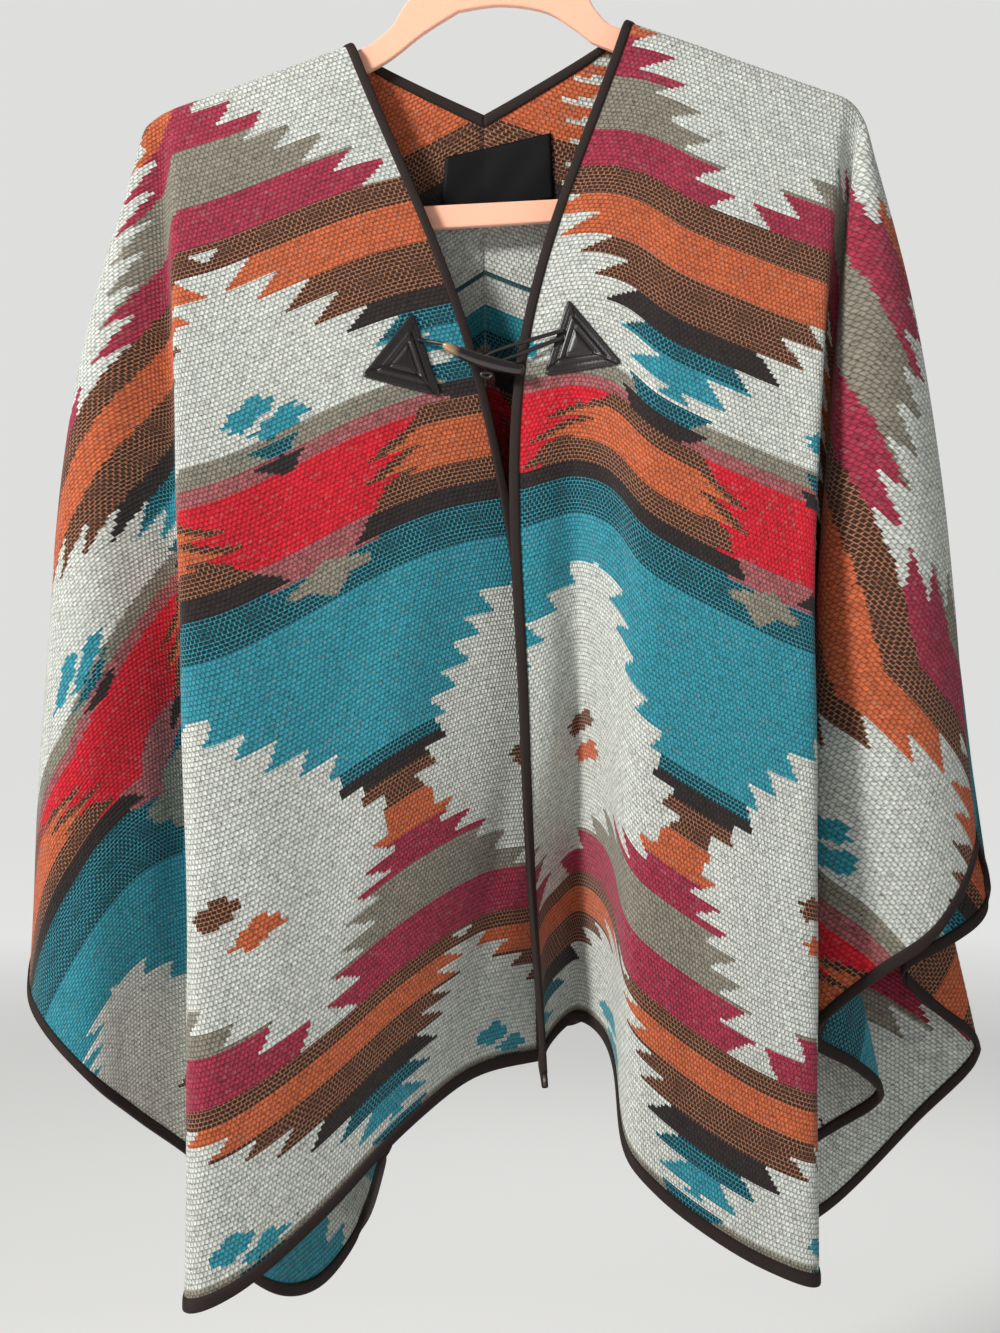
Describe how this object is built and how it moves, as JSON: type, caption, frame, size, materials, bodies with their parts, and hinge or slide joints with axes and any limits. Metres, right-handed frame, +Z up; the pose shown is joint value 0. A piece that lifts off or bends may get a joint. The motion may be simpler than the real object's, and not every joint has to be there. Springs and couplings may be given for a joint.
{
  "type": "poncho on hanger",
  "caption": "Open-front blanket poncho with serrated bands, bound edges and a leather and horn toggle, hanging on a flat hanger.",
  "frame": {"origin": "inside top of the hanger's hook, where a rail or a nail carries it", "axes": "+Z up, +Y towards the wall behind the garment, +X to the right of someone who looks at its front"},
  "size_m": [0.6562, 0.2293, 0.9877],
  "materials": {
    "cloth": "nubby woven blanket cloth with a banded serrated pattern",
    "tape": "dark brown folded tape, slightly glossy",
    "label": "black woven satin, bare",
    "leather": "black grained leather, softly glossy",
    "horn": "polished dark horn with a tan tip",
    "hanger": "flocked, matt, peach",
    "steel": "polished wire"
  },
  "bodies": {
    "root": {"front_left": "cloth", "front_right": "cloth", "back_left": "cloth", "back_right": "cloth", "binding_hem_front_left": "tape", "binding_hem_front_right": "tape", "binding_hem_back_left": "tape", "binding_hem_back_right": "tape", "binding_front_left": "tape", "binding_front_right": "tape", "binding_neck_left": "tape", "binding_neck_right": "tape", "label": "label", "patch_left": "leather", "patch_right": "leather", "cord_left": "leather", "loop_right": "leather", "knot": "leather", "toggle": "horn", "hanger": "hanger", "hook": "steel"}
  },
  "joints": []
}
